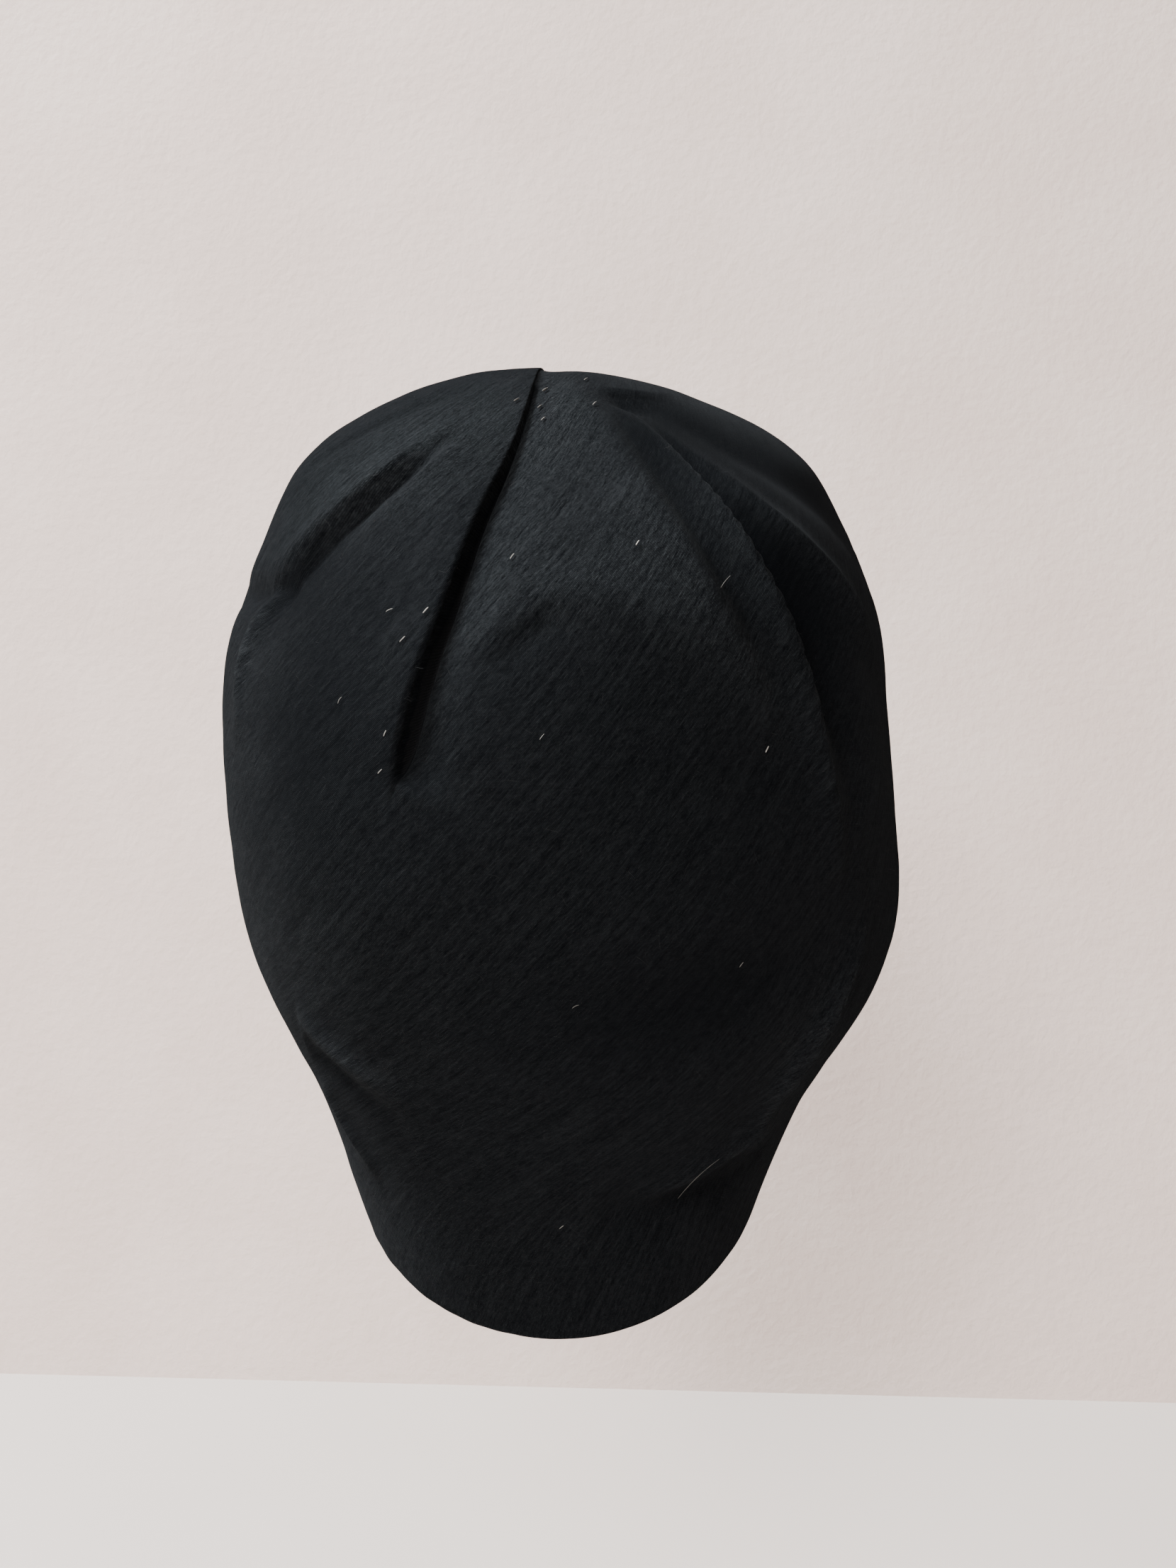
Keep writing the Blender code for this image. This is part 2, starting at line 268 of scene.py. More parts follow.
def fold_form(fold, points, normals):
    """Which points a fold reaches, and how strong its form is there, from 0 to 1."""
    places = (fold.angle_0, fold.share_0), (fold.angle_1, fold.share_1), (fold.angle_2, fold.share_2)
    along, path = smooth_path(places, 81)
    near = within(path, 3 * FOLD_WIDTH * max(fold.left, fold.right), points)
    here, aside, away, rightward = beside(path, along, points[near], normals[near])
    width = FOLD_WIDTH * np.where(aside > 0, fold.right, fold.left)
    strength = np.sin(np.pi * here ** (np.log(0.5) / np.log(fold.peak)))
    strength = np.clip(strength, 0, 1) ** FOLD_FADE
    spread = away / width
    # A pointed form with its line rounded, faded out at its foot
    form = np.exp(fold.round - np.sqrt(spread**2 + fold.round**2)) * np.exp(-((spread / 1.9) ** 2))
    return near, strength * form


def fold_shift(fold, points, normals):
    """How far one fold moves each of the points of the smooth cap."""
    near, form = fold_form(fold, points, normals)
    shift = np.zeros_like(points)
    shift[near] = -(FOLD_DEPTH * fold.depth * form)[:, None] * normals[near]
    return shift


def painted_light_and_wear(points, normals):
    """How rubbed the cloth is at each point, most on the ridges and not at all inside the dart, with light and shade
    painted in: the ridges are lighter partly as painted light, the fold valleys and the inside of the dart darker as
    painted shade, and the panel right of the dart and the zones lighter or darker as painted light and painted shade.
    """
    wear = np.full(len(points), 0.5)
    # Ridges are made lighter, partly as rubbed cloth and partly as painted light; fold valleys are made darker as
    # painted shade.
    for fold in FOLDS:
        near, form = fold_form(fold, points, normals)
        if fold.depth < 0:
            sharp = -fold.depth / (0.3 + max(fold.left, fold.right))
            wear[near] += 0.50 * min(sharp, 1) * form**2
        else:
            wear[near] -= 0.16 * min(2 * fold.depth, 1) * form
    # The panel right of the dart is made lighter here, as painted light.
    panel = np.ones(len(points))
    for places, soft in LIT_PANEL_SIDES:
        along, path = smooth_path(places, 81)
        here, aside, away, rightward = beside(path, along, points, normals)
        panel *= 1 / (1 + np.exp(np.clip(-aside / soft, -30, 30)))
    wear += 0.35 * panel
    # Patches of painted light and painted shade, and a few of rubbed cloth.
    for zone in ZONES:
        centre = cloth_points(np.radians([zone.angle]), np.array([zone.share]))[0]
        sideways = cloth_points(np.radians([zone.angle + zone.half_angle]), np.array([zone.share]))[0] - centre
        down = cloth_points(np.radians([zone.angle]), np.array([zone.share + zone.half_share]))[0] - centre
        gap = points - centre
        spread = (gap @ sideways / (sideways @ sideways)) ** 2 + (gap @ down / (down @ down)) ** 2
        wear += zone.wear * np.exp(-spread)
    wear = np.clip(wear, 0.1, 1)
    # Inside the dart the cloth is made darkest, as painted shade.
    along, path = smooth_path([(p.angle, p.share) for p in DART], 161)
    near = within(path, 0.02, points)
    here, aside, away, rightward = beside(path, along, points[near], normals[near])
    knots = np.linspace(0, 1, len(DART))
    open_by = FOLD_DEPTH * spline(knots, [p.gap for p in DART], here)
    inside = np.clip((aside + open_by) / 0.0004, 0, 1) * np.clip((0.0004 - aside) / 0.0004, 0, 1)
    inside *= np.exp(-((np.sqrt(np.clip(away**2 - aside**2, 0, None)) / 0.0015) ** 2))
    wear[near] *= 1 - inside
    return wear


def dart_shift(points, normals):
    """How the dart moves the points of the cap."""
    along, path = smooth_path([(p.angle, p.share) for p in DART], 161)
    near = within(path, 3 * ROLL_PULL, points)
    here, aside, away, rightward = beside(path, along, points[near], normals[near])
    knots = np.linspace(0, 1, len(DART))

    def sized(name, least):
        return FOLD_DEPTH * np.clip(spline(knots, [getattr(p, name) for p in DART], here), least, 1)

    roll, gap, deep, lip, step = sized("roll", 0.03), sized("gap", 0.0), sized("deep", 0.0), sized("lip", 0.0), sized("step", 0.0)
    # Beyond either end of the dart, its forms die away
    beyond = np.sqrt(np.clip(away**2 - aside**2, 0, None))
    ending = np.exp(-((beyond / 0.0025) ** 2))
    rolled = roll * ROLL_SWEEP
    start = -gap - rolled
    # The cloth left of the roll is drawn towards it, so that the rolled edge reaches the gap
    before = np.clip(start - aside, 0, None)
    turn = ROLL_SWEEP * np.clip((aside - start) / rolled, 0, 1)
    across = np.where(aside < start, (rolled - roll) * np.exp(-((before / ROLL_PULL) ** 2)), 0)
    up = np.where(aside < start, lip * np.exp(-((before / (0.6 * ROLL_PULL)) ** 2)), 0)
    on_roll = (aside >= start) & (aside < -gap)
    across = np.where(on_roll, -gap - roll + roll * np.sin(turn) - aside, across)
    up = np.where(on_roll, lip - roll * (1 - np.cos(turn)), up)
    # The ground of the gap falls from the tucked end of the roll to its deepest place on the right
    tuck_across = -roll * (1 - math.sin(ROLL_SWEEP))
    tuck_up = lip - roll * (1 - math.cos(ROLL_SWEEP))
    ground = (aside >= -gap) & (aside < 0)
    over = np.clip((aside + gap) / np.maximum(gap, 1e-5), 0, 1)
    across = np.where(ground, tuck_across * (1 - over), across)
    up = np.where(ground, tuck_up + (-deep - tuck_up) * np.sin(over * math.pi / 2), up)
    right = aside >= 0
    rise = np.exp(-((aside / EDGE_REACH) ** 2))
    bottom = np.where(gap > 1e-5, -deep, tuck_up)
    beside_it = -step * np.exp(-((aside / STEP_REACH) ** 2))
    up = np.where(right, beside_it + (bottom - beside_it) * rise, up)
    across = np.where(right, -0.35 * EDGE_REACH * np.sin(np.clip(aside / EDGE_REACH, 0, 2) * math.pi / 2), across)
    shift = np.zeros_like(points)
    shift[near] = (across * ending)[:, None] * rightward + (up * ending)[:, None] * normals[near]
    return shift


def undulation(points, shares):
    """How far each point stands out from the smooth cap by the cloth's own small unevenness."""
    lifts = []
    for p, share in zip(points, shares):
        place = Vector(p)
        broad = noise.noise(place * 32)
        fine = noise.noise(place * 110 + Vector((7, 3, 5)))
        lifts.append(0.0006 * broad + 0.00018 * fine)
    return np.array(lifts)


def hem_ripples(angles, shares):
    """Upright ripples, 7 mm apart, where the hem crosses the left of the nape."""
    lower = np.clip((shares - 0.86) / 0.12, 0, 1) ** 2
    beside_nape = np.exp(-(((np.degrees(angles) - 36) / 24) ** 2))
    uneven = 0.6 + 0.4 * np.sin(np.degrees(angles) / 9.0 + 1.0)
    return 0.00012 * lower * beside_nape * uneven * np.cos(np.degrees(angles) / 6.4 * 2 * np.pi)


def wall_rows():
    """The rows of points that wrap the whole wall, crown to hem outside and hem to crown inside, with
    their angles, shares and how far each lies along the cloth."""
    around = np.linspace(-np.pi, np.pi, COLUMNS + 1)[:-1]
    shares = np.linspace(0, 1, COURSES + 1)[1:]
    turns = np.radians(spline([s.share for s in SECTIONS], [s.turn for s in SECTIONS], shares))
    angles = around - BACK_CROWDING * np.sin(around) - DART_CROWDING * np.sin(2 * around)
    angles = angles[None] + turns[:, None] * ((1 + np.cos(around)) / 2)[None] ** 2
    grid_shares = np.repeat(shares[:, None], COLUMNS, axis=1)
    base = cloth_points(angles, grid_shares)
    crown = cloth_points(np.zeros(1), np.zeros(1))[0]
    padded = np.concatenate([np.repeat(crown[None, None], COLUMNS, axis=1), base])
    down = np.gradient(padded, axis=0)[1:]
    sideways = np.roll(base, -1, axis=1) - np.roll(base, 1, axis=1)
    normals = np.cross(down, sideways)
    normals /= np.linalg.norm(normals, axis=2, keepdims=True)
    if np.mean(np.sum(normals * base, axis=2)) < 0:
        normals = -normals

    flat, flat_normals = base.reshape(-1, 3), normals.reshape(-1, 3)
    lift = undulation(flat, grid_shares.ravel()) + hem_ripples(angles.ravel(), grid_shares.ravel())
    common = flat + lift[:, None] * flat_normals
    common = common + sum(fold_shift(fold, flat, flat_normals) for fold in FOLDS)
    outer = (common + dart_shift(flat, flat_normals)).reshape(base.shape)
    inner = common + fold_shift(LINING_DART, flat, flat_normals) - WALL * flat_normals
    inner = inner.reshape(base.shape)

    # The hem is a half round from the outer face to the inner one
    out, below = normals[-1], down[-1] / np.linalg.norm(down[-1], axis=1, keepdims=True)
    middle = outer[-1] - out * WALL / 2
    hem = []
    for i in range(1, HEM_COURSES + 1):
        turn = math.pi * i / (HEM_COURSES + 1)
        hem.append(middle + (out * math.cos(turn) + below * math.sin(turn)) * WALL / 2)
    inside = np.arange(COURSES - 1, -1, -LINING_STEP)
    rows = np.concatenate([outer, np.array(hem), inner[inside]])
    hem_shares = np.ones((HEM_COURSES, COLUMNS))
    all_shares = np.concatenate([grid_shares, hem_shares, grid_shares[inside]])
    hem_angles = np.repeat(angles[-1:], HEM_COURSES, axis=0)
    all_angles = np.concatenate([angles, hem_angles, angles[inside]])
    smooth = np.concatenate([base, hem, base[inside]])
    steps = np.linalg.norm(np.diff(smooth, axis=0), axis=2)
    lengths = np.concatenate([np.zeros((1, COLUMNS)), np.cumsum(steps, axis=0)])
    wear = painted_light_and_wear(flat, flat_normals).reshape(base.shape[:2])
    wear = np.concatenate([wear, hem_shares * 0.5, np.full((len(inside), COLUMNS), 0.4)])
    return rows, all_angles, all_shares, lengths, normals, wear


def wall_mesh(rows, angles, shares, lengths, wear):
    """The closed wall as a mesh whose own map, knit, runs along the wales and courses."""
    count, columns = rows.shape[:2]
    crown_out, crown_in = rows[0].mean(axis=0), rows[-1].mean(axis=0)
    points = np.concatenate([rows.reshape(-1, 3), crown_out[None], crown_in[None]])
    top, bottom = count * columns, count * columns + 1
    swirl = np.radians(spline([s.share for s in SWIRLS], [s.turn for s in SWIRLS], shares))
    across = (angles - swirl) / (2 * np.pi)
    down = lengths / MAP_LENGTH
    faces, places = [], []
    for r in range(count - 1):
        for c in range(columns):
            d = (c + 1) % columns
            wrap = 1 if d == 0 else 0
            faces.append((r * columns + c, r * columns + d, (r + 1) * columns + d, (r + 1) * columns + c))
            places += [
                (across[r, c], down[r, c]), (across[r, d] + wrap, down[r, d]),
                (across[r + 1, d] + wrap, down[r + 1, d]), (across[r + 1, c], down[r + 1, c]),
            ]
    for r, tip, order in ((0, top, 1), (count - 1, bottom, -1)):
        for c in range(columns):
            d = (c + 1) % columns
            wrap = 1 if d == 0 else 0
            corners = [(tip, (across[r, c], down[r, c])), (r * columns + d, (across[r, d] + wrap, down[r, d]))]
            corners.append((r * columns + c, (across[r, c], down[r, c])))
            corners = corners[::order]
            faces.append(tuple(corner[0] for corner in corners))
            places += [corner[1] for corner in corners]
    mesh = bpy.data.meshes.new("beanie_cloth")
    mesh.from_pydata(points.tolist(), [], faces)
    layer = mesh.uv_layers.new(name="knit")
    layer.data.foreach_set("uv", np.array(places, dtype=np.float32).ravel())
    shaped = bmesh.new()
    shaped.from_mesh(mesh)
    bmesh.ops.recalc_face_normals(shaped, faces=shaped.faces)
    if shaped.calc_volume(signed=True) < 0:
        bmesh.ops.reverse_faces(shaped, faces=shaped.faces)
    shaped.to_mesh(mesh)
    shaped.free()
    mesh.shade_smooth()
    wear_and_painted_light_layer = mesh.attributes.new("wear", "FLOAT", "POINT")
    values = np.concatenate([wear.ravel(), [0.5, 0.4]])
    wear_and_painted_light_layer.data.foreach_set("value", values.astype(np.float32))
    return mesh


def shown(name, mesh, material):
    """A new object at the origin that shows the mesh."""
    mesh.materials.clear()
    mesh.materials.append(material)
    made = bpy.data.objects.new(name, mesh)
    bpy.context.scene.collection.objects.link(made)
    return made


class Channel:
    """A socket that carries a number, so that sums and products of sockets can be written as such."""

    def __init__(self, graph, socket):
        self.graph, self.socket = graph, socket

    def maths(self, operation, *terms):
        return self.graph.node("ShaderNodeMath", {"operation": operation}, dict(enumerate(terms)))

    def __add__(self, other):
        return self.maths("ADD", self, other)

    def __sub__(self, other):
        return self.maths("SUBTRACT", self, other)

    def __rsub__(self, other):
        return self.maths("SUBTRACT", other, self)

    def __mul__(self, other):
        return self.maths("MULTIPLY", self, other)

    def __pow__(self, other):
        return self.maths("POWER", self, other)

    def __abs__(self):
        return self.maths("ABSOLUTE", self)

    __radd__ = __add__
    __rmul__ = __mul__

    def fraction(self):
        return self.maths("FRACT", self)

    def sine(self):
        return self.maths("SINE", self)

    def ramp(self, low, high, to_low=0.0, to_high=1.0):
        """The value read from low to high as to_low to to_high, held at the ends."""
        ends = {0: self, 1: low, 2: high, 3: to_low, 4: to_high}
        return self.graph.node("ShaderNodeMapRange", {"interpolation_type": "SMOOTHSTEP"}, ends)


class Graph:
    """A node tree whose nodes all come from one method."""

    def __init__(self, tree):
        self.tree = tree

    def node(self, kind, settings=None, sockets=None, output=0):
        """A new node's output, with its settings made first and then its sockets set or linked."""
        made = self.tree.nodes.new(kind)
        for name, value in (settings or {}).items():
            setattr(made, name, value)
        for name, value in (sockets or {}).items():
            if isinstance(value, Channel):
                self.tree.links.new(value.socket, made.inputs[name])
            else:
                made.inputs[name].default_value = value
        return Channel(self, made.outputs[output])

    def other(self, channel, output):
        """Another output of the node that a channel comes from."""
        return Channel(self, channel.socket.node.outputs[output])


class Finish(Graph):
    """A material with one shader. Colours are linear."""

    def __init__(self, name):
        self.material = bpy.data.materials.new(name)
        self.material.use_nodes = True
        super().__init__(self.material.node_tree)
        self.shader = self.tree.nodes["Principled BSDF"]

    def set(self, **sockets):
        for name, value in sockets.items():
            socket = self.shader.inputs[name.replace("_", " ").title()]
            if isinstance(value, Channel):
                self.tree.links.new(value.socket, socket)
            else:
                socket.default_value = value

    def vector(self, x, y, z=0.0):
        return self.node("ShaderNodeCombineXYZ", None, {0: x, 1: y, 2: z})

    def clouds(self, place, scale, detail=2.0, roughness=0.5):
        """Soft noise from 0 to 1 round a middle of about a half."""
        sockets = {"Vector": place, "Scale": scale, "Detail": detail, "Roughness": roughness}
        return self.node("ShaderNodeTexNoise", None, sockets)

    def blend(self, factor, first, second):
        """The colour from first to second as factor goes from 0 to 1."""
        return self.node("ShaderNodeMix", {"data_type": "RGBA"}, {0: factor, 6: first, 7: second}, 2)


def jersey():
    """Near-black jersey, fine knitting lightly brushed, greyer where it has rubbed and gathered lint, with painted
    light and painted shade in its colour: lighter where light falls, darker in fold valleys, in hollows and inside the
    dart.
    """
    cloth = Finish("black_jersey")
    knit = cloth.node("ShaderNodeUVMap", {"uv_map": "knit"})
    across = cloth.node("ShaderNodeSeparateXYZ", None, {0: knit})
    along = cloth.other(across, 1)
    place = cloth.other(cloth.node("ShaderNodeTexCoord"), 3)
    wear = cloth.node("ShaderNodeAttribute", {"attribute_name": "wear"}, output=2)

    # Each wale is a rounded rib of loops, and each loop has two slanting legs
    wale = across * WALES
    aside = abs(wale.fraction() - 0.5)
    rib = 1 - (aside * 2) ** 2
    legs = ((along * (MAP_LENGTH / COURSE_PITCH) + aside * 1.6) * (2 * math.pi)).sine() * 0.5 + 0.5
    # Along its own wale the cloth is lighter and darker in dashes, so they never cross to the next one
    lane = wale.maths("FLOOR", wale)
    dashes = cloth.clouds(cloth.vector(lane * 7.31, along * (MAP_LENGTH / 0.0017)), 1.0, 3.0, 0.7)
    streaks = cloth.clouds(cloth.vector(wale * 0.30, along * (MAP_LENGTH / 0.0150)), 1.0, 3.0, 0.6)
    nap = cloth.clouds(place, 3200.0, 2.0, 0.6)
    worn = cloth.clouds(place, 20.0, 3.0, 0.55)
    patches = cloth.clouds(place, 75.0, 4.0, 0.6)

    height = rib * 0.25 + rib * legs * 0.15 + dashes * 0.60 + nap * 0.45
    bump = cloth.node("ShaderNodeBump", None, {"Strength": 0.75, "Distance": 0.00022, "Height": height})

    deep, light_cloth, pale = (0.0022, 0.0025, 0.0030, 1), (0.0244, 0.0274, 0.0298, 1), (0.034, 0.038, 0.040, 1)
    tone = (rib * 0.12 + legs * rib * 0.06 + dashes * 1.00 + streaks * 0.58 + nap * 0.50 - 0.74).ramp(0.05, 1.10)
    # The cloth's mask lightens it where it is rubbed and where light is painted, and darkens it where shade is painted.
    colour = cloth.blend(tone * (wear * 1.0 + 0.03), deep, light_cloth)
    lint = (dashes * 0.80 + patches * 0.25 + wear * 0.20).ramp(0.76, 1.02, 0.0, 0.45)
    colour = cloth.blend(lint * worn.ramp(0.30, 0.75, 0.45, 1.0) * wear, colour, pale)
    # Where the mask is near 0, inside the dart, the colour is a flat dark painted shade.
    colour = cloth.blend(wear.ramp(0.0, 0.09), (0.0052, 0.0054, 0.0058, 1), colour)
    cloth.set(base_color=colour, roughness=dashes.ramp(0.2, 0.8, 0.99, 0.90), normal=bump)
    cloth.set(sheen_weight=0.02, sheen_roughness=0.35, sheen_tint=(0.70, 0.76, 0.80, 1))
    cloth.shader.inputs["Specular IOR Level"].default_value = 0.0
    return cloth.material


def fibre(name, colour, sheen):
    """A loose fibre, dull and slightly uneven in colour from place to place."""
    thread = Finish(name)
    place = thread.other(thread.node("ShaderNodeTexCoord"), 3)
    uneven = thread.clouds(place, 260.0, 2.0, 0.5)
    dim = tuple(0.45 * c for c in colour[:3]) + (1,)
    thread.set(base_color=thread.blend(uneven.ramp(0.3, 0.7), dim, colour), roughness=0.8)
    thread.set(sheen_weight=sheen, sheen_roughness=0.5)
    thread.shader.inputs["Specular IOR Level"].default_value = 0.0
    return thread.material


HAIR_INPUTS = (
    ("Hairs per square metre", "NodeSocketFloat"),
    ("Length", "NodeSocketFloat"),
    ("Width", "NodeSocketFloat"),
    ("Bend", "NodeSocketFloat"),
    ("Least tilt", "NodeSocketFloat"),
    ("Most tilt", "NodeSocketFloat"),
    ("Seed", "NodeSocketInt"),
    ("Finish", "NodeSocketMaterial"),
)


def hair_tree():
    """Nodes that stand short bent hairs on a mesh, as many as its fuzz attribute says."""
    tree = bpy.data.node_groups.new("hairs", "GeometryNodeTree")
    tree.interface.new_socket("Geometry", in_out="INPUT", socket_type="NodeSocketGeometry")
    for name, kind in HAIR_INPUTS:
        tree.interface.new_socket(name, in_out="INPUT", socket_type=kind)
    tree.interface.new_socket("Geometry", in_out="OUTPUT", socket_type="NodeSocketGeometry")
    hairs = Graph(tree)
    given = hairs.node("NodeGroupInput")
    density, length, width, bend, least, most, seed, finish = (
        hairs.other(given, name) for name, kind in HAIR_INPUTS
    )

    # One hair: a narrow strip of two quads along Z that bends towards X
    strip = hairs.node("GeometryNodeMeshGrid", None, {0: 1.0, 1: 1.0, 2: 2, 3: 3})
    x = hairs.node("ShaderNodeSeparateXYZ", None, {0: hairs.node("GeometryNodeInputPosition")})
    up = hairs.other(x, 1) + 0.5
    taper = 1 - up * 0.75
    shape = hairs.node("ShaderNodeCombineXYZ", None, {0: up * up * bend * length, 1: x * width * taper, 2: up * length})
    hair = hairs.node("GeometryNodeSetPosition", None, {"Geometry": strip, "Position": shape})

    def pick(low, high, which):
        sockets = {2: low, 3: high, 8: seed + which}
        return hairs.node("FunctionNodeRandomValue", {"data_type": "FLOAT"}, sockets, 1)

    fuzz = hairs.node("GeometryNodeInputNamedAttribute", {"data_type": "FLOAT"}, {"Name": "fuzz"})
    sockets = {"Mesh": given, "Density": fuzz * density, "Seed": seed}
    points = hairs.node("GeometryNodeDistributePointsOnFaces", {"distribute_method": "RANDOM"}, sockets)
    tilt = hairs.node("ShaderNodeCombineXYZ", None, {0: 0.0, 1: pick(least, most, 1), 2: pick(0.0, 2 * math.pi, 2)})
    turned = hairs.node("FunctionNodeEulerToRotation", None, {0: tilt})
    sockets = {0: hairs.other(points, 2), 1: turned}
    rotation = hairs.node("FunctionNodeRotateRotation", {"rotation_space": "LOCAL"}, sockets)
    size = pick(0.35, 1.0, 3)
    sockets = {"Points": points, "Instance": hair, "Rotation": rotation, "Scale": size}
    placed = hairs.node("GeometryNodeInstanceOnPoints", None, sockets)
    real = hairs.node("GeometryNodeRealizeInstances", None, {0: placed})
    done = hairs.node("GeometryNodeSetMaterial", None, {"Geometry": real, "Material": finish})
    out = tree.nodes.new("NodeGroupOutput")
    tree.links.new(done.socket, out.inputs[0])
    return tree


def grown(name, ground, tree, **values):
    """A plain mesh of the hairs that tree grows on the mesh ground."""
    base = bpy.data.objects.new(name + "_ground", ground)
    bpy.context.scene.collection.objects.link(base)
    growth = base.modifiers.new("hairs", "NODES")
    growth.node_group = tree
    for item in tree.interface.items_tree:
        key = item.name.lower().replace(" ", "_")
        if item.in_out == "INPUT" and key in values:
            growth[item.identifier] = values[key]
    graph = bpy.context.evaluated_depsgraph_get()
    mesh = bpy.data.meshes.new_from_object(base.evaluated_get(graph))
    mesh.name = name
    bpy.data.objects.remove(base)
    for layer in list(mesh.uv_layers):
        mesh.uv_layers.remove(layer)
    return shown(name, mesh, values["finish"])


def fuzzy_ground(rows, normals, angles, shares):
    """The outer cloth as an open mesh, with how fuzzy each point of it is in its fuzz attribute."""
    count, columns = COURSES + HEM_COURSES, COLUMNS
    points = rows[:count].reshape(-1, 3)
    faces = []
    for r in range(count - 1):
        for c in range(columns):
            d = (c + 1) % columns
            faces.append((r * columns + c, (r + 1) * columns + c, (r + 1) * columns + d, r * columns + d))
    mesh = bpy.data.meshes.new("fuzzy_ground")
    mesh.from_pydata(points.tolist(), [], faces)
    a, s = np.degrees(angles[:count]).ravel(), shares[:count].ravel()
    fuzz = 0.75 + 0.25 * np.cos(np.radians(a - 40))
    fuzz += 0.5 * np.exp(-((s / 0.3) ** 2))
    layer = mesh.attributes.new("fuzz", "FLOAT", "POINT")
    layer.data.foreach_set("value", fuzz.astype(np.float32))
    return mesh


# Loose bits on the cloth. heading is the angle in degrees from level, rising to the photograph's right
# as seen from behind. length and width are in millimetres and bend is a share of the length.
Bit = namedtuple("Bit", "angle share length width heading bend")
LINT = (
    Bit(25.5, 0.432, 1.5, 0.14, 20, 0.2), Bit(19.2, 0.430, 1.5, 0.28, 52, 0.03), Bit(22.3, 0.453, 1.5, 0.24, 48, 0.05),
    Bit(6.0, 0.383, 1.4, 0.26, 62, 0.03), Bit(-13.5, 0.378, 1.4, 0.27, 58, 0.03), Bit(31.5, 0.500, 1.5, 0.12, 58, 0.3),
    Bit(23.4, 0.517, 1.2, 0.22, 66, 0.05), Bit(23.8, 0.542, 1.2, 0.20, 42, 0.05), Bit(1.0, 0.515, 1.3, 0.11, 52, 0.05),
    Bit(-31.5, 0.535, 1.5, 0.27, 55, 0.03), Bit(-27.0, 0.690, 1.2, 0.12, 55, 0.05), Bit(-2.0, 0.703, 1.4, 0.10, 30, 0.2),
    Bit(-3.0, 0.902, 1.2, 0.14, 45, 0.05),
)
HAIRS = (Bit(-26.0, 0.416, 7.6, 0.10, 52, 0.12), Bit(-27.0, 0.873, 12.0, 0.08, 50, 0.15))
THREADS = (
    Bit(-1.0, 0.200, 2.2, 0.55, 62, 0.05), Bit(0.5, 0.225, 1.6, 0.40, 60, 0.05), Bit(0.0, 0.240, 1.5, 0.34, 60, 0.05),
    Bit(7.0, 0.225, 1.6, 0.40, 55, 0.05), Bit(-15.0, 0.182, 2.2, 0.36, 62, 0.05), Bit(-12.5, 0.233, 2.0, 0.30, 60, 0.05),
)


def bits_mesh(name, bits, rows, normals, angles, shares):
    """Short three-sided fibres that lie on the cloth."""
    made = bmesh.new()
    a, s = np.degrees(angles[:COURSES]), shares[:COURSES]
    for bit in bits:
        r, c = np.unravel_index((((a - bit.angle) / 60) ** 2 + (s - bit.share) ** 2).argmin(), a.shape)
        place, out = Vector(rows[r, c]), Vector(normals[r, c])
        level = Vector((0, 0, 1)).cross(out).normalized()
        upward = out.cross(level)
        tilt = math.radians(bit.heading)
        heading = (level * math.cos(tilt) + upward * math.sin(tilt)).normalized()
        beside_it = out.cross(heading)
        length, width = bit.length / 1000, bit.width / 1000
        rings = []
        steps = 6
        for i in range(steps + 1):
            t = i / steps
            centre = place + heading * (t - 0.5) * length + beside_it * bit.bend * length * 4 * t * (1 - t) * 0.5
            centre += out * (0.00025 + width / 2)
            thick = width / 2 * (0.55 if i in (0, steps) else 1)
            corners = []
            for k in range(3):
                turn = 2 * math.pi * k / 3
                corners.append(made.verts.new(centre + (beside_it * math.cos(turn) + out * math.sin(turn)) * thick))
            rings.append(corners)
        for first, second in zip(rings, rings[1:]):
            for k in range(3):
                j = (k + 1) % 3
                made.faces.new((first[k], first[j], second[j], second[k]))
        made.faces.new(rings[0][::-1])
        made.faces.new(rings[-1])
    bmesh.ops.recalc_face_normals(made, faces=made.faces)
    mesh = bpy.data.meshes.new(name)
    made.to_mesh(mesh)
    made.free()
    mesh.shade_smooth()
    return mesh


def backdrop():
    """A pale table and the pale wall behind it, slightly turned."""
    pale = Finish("pale_plaster")
    place = pale.other(pale.node("ShaderNodeTexCoord"), 3)
    mottle = pale.clouds(place, 9.0, 5.0, 0.6)
    tone = pale.blend(mottle.ramp(0.3, 0.7), (0.68, 0.555, 0.50, 1), (0.74, 0.62, 0.565, 1))
    grain = pale.clouds(place, 220.0, 3.0, 0.6)
    bump = pale.node("ShaderNodeBump", None, {"Strength": 0.15, "Distance": 0.002, "Height": grain})
    pale.set(base_color=tone, roughness=0.9, normal=bump, emission_color=(1.0, 0.88, 0.82, 1), emission_strength=0.16)
    white = Finish("white_table")
    place = white.other(white.node("ShaderNodeTexCoord"), 3)
    uneven = white.clouds(place, 6.0, 3.0, 0.5)
    white.set(base_color=white.blend(uneven, (0.44, 0.395, 0.365, 1), (0.48, 0.44, 0.41, 1)), roughness=0.6)

    def panel(name, corners, material):
        mesh = bpy.data.meshes.new(name)
        mesh.from_pydata(corners, [], [(0, 1, 2, 3)])
        return shown(name, mesh, material)

    low, high, near, far = -0.39, 2.2, 1.6, -0.319
    lean = 0.058
    wall = panel("wall", [(-2, far + 2 * lean, low), (2, far - 2 * lean, low), (2, far - 2 * lean, high), (-2, far + 2 * lean, high)], pale.material)
    floor = panel("floor", [(-2, near, low), (2, near, low), (2, -0.6, low), (-2, -0.6, low)], white.material)


def soft_light(name, place, aim, size, power, colour):
    light = bpy.data.lights.new(name, "AREA")
    light.size = size
    light.energy = power
    light.color = colour
    lamp = bpy.data.objects.new(name, light)
    lamp.location = place
    lamp.rotation_euler = (Vector(aim) - Vector(place)).to_track_quat("-Z", "Y").to_euler()
    bpy.context.scene.collection.objects.link(lamp)


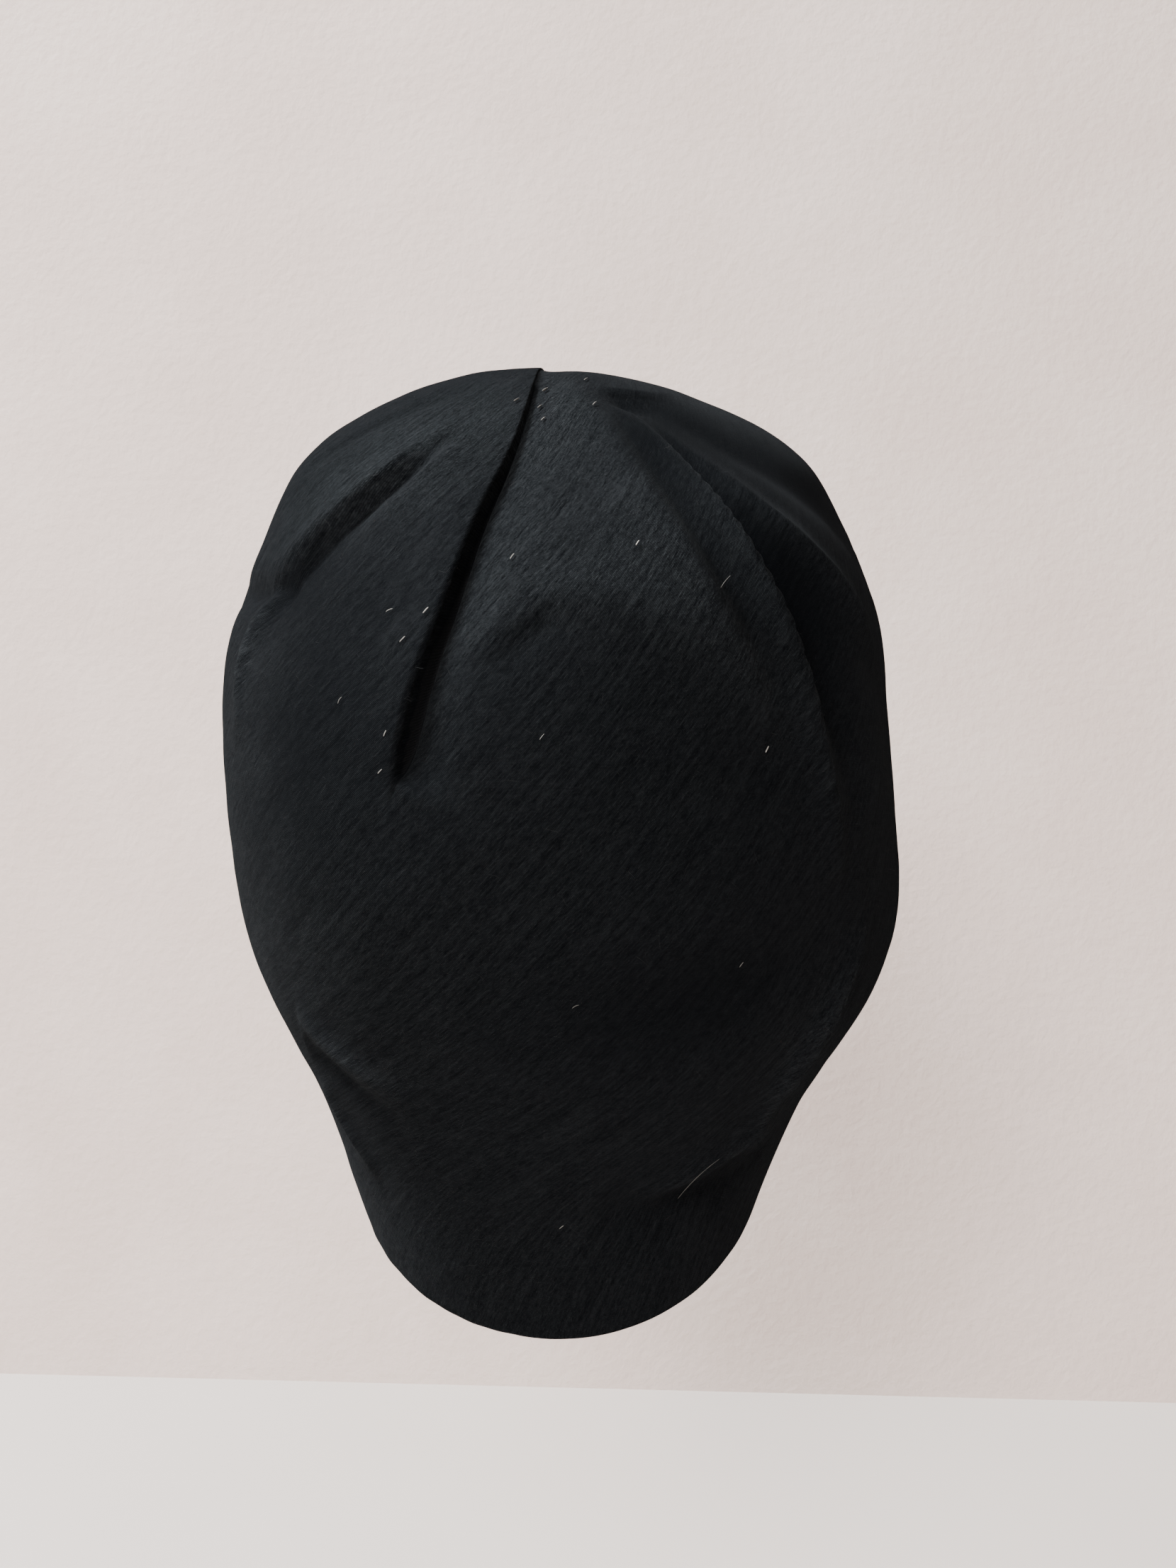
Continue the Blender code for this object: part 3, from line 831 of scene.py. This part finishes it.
def lights_and_camera():
    soft_light("key_light", (1.55, 0.00, 2.20), (0, 0, -0.10), 0.70, 360.0, (0.97, 0.99, 1.0))
    soft_light("room_light", (0.30, 1.05, 0.42), (0, -0.2, -0.12), 0.45, 20.0, (1.0, 0.965, 0.94))
    world = bpy.data.worlds.new("pale_room")
    world.use_nodes = True
    sky = world.node_tree.nodes["Background"]
    sky.inputs["Color"].default_value = (0.90, 0.87, 0.85, 1)
    sky.inputs["Strength"].default_value = 0.08
    bpy.context.scene.world = world

    lens = bpy.data.cameras.new("camera")
    lens.lens = 32
    lens.sensor_width = 36
    camera = bpy.data.objects.new("camera", lens)
    camera.location = (-0.0075, 0.355, -0.098)
    camera.rotation_euler = (math.pi / 2, 0, math.pi)
    bpy.context.scene.collection.objects.link(camera)
    bpy.context.scene.camera = camera


rows, angles, shares, lengths, normals, wear = wall_rows()
cap = shown("beanie_cloth", wall_mesh(rows, angles, shares, lengths, wear), jersey())
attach(cap, "root")
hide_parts("knit_cap")

tree = hair_tree()
ground = fuzzy_ground(rows, normals, angles, shares)
dark_fibre = fibre("dark_fibre", (0.009, 0.010, 0.011, 1), 0.02)
grey_fibre = fibre("grey_fibre", (0.035, 0.037, 0.038, 1), 0.05)
light_fibre = fibre("light_fibre", (0.14, 0.135, 0.125, 1), 0.1)
pale_fibre = fibre("pale_fibre", (0.30, 0.29, 0.27, 1), 0.1)
nap = grown("short_fuzz", ground, tree, hairs_per_square_metre=240000.0, length=0.0013, width=0.00005,
            bend=0.5, least_tilt=0.5, most_tilt=1.45, seed=3, finish=dark_fibre)
halo = grown("long_fuzz", ground, tree, hairs_per_square_metre=60000.0, length=0.0026, width=0.000045,
             bend=0.6, least_tilt=0.3, most_tilt=1.45, seed=11, finish=grey_fibre)
lint = shown("lint", bits_mesh("lint", LINT, rows, normals, angles, shares), pale_fibre)
hairs = shown("loose_hairs", bits_mesh("loose_hairs", HAIRS, rows, normals, angles, shares), light_fibre)
threads = shown("crown_threads", bits_mesh("crown_threads", THREADS, rows, normals, angles, shares), light_fibre)
for piece in (nap, halo, lint, hairs, threads):
    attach(piece, "root")
bpy.data.meshes.remove(ground)

backdrop()
lights_and_camera()
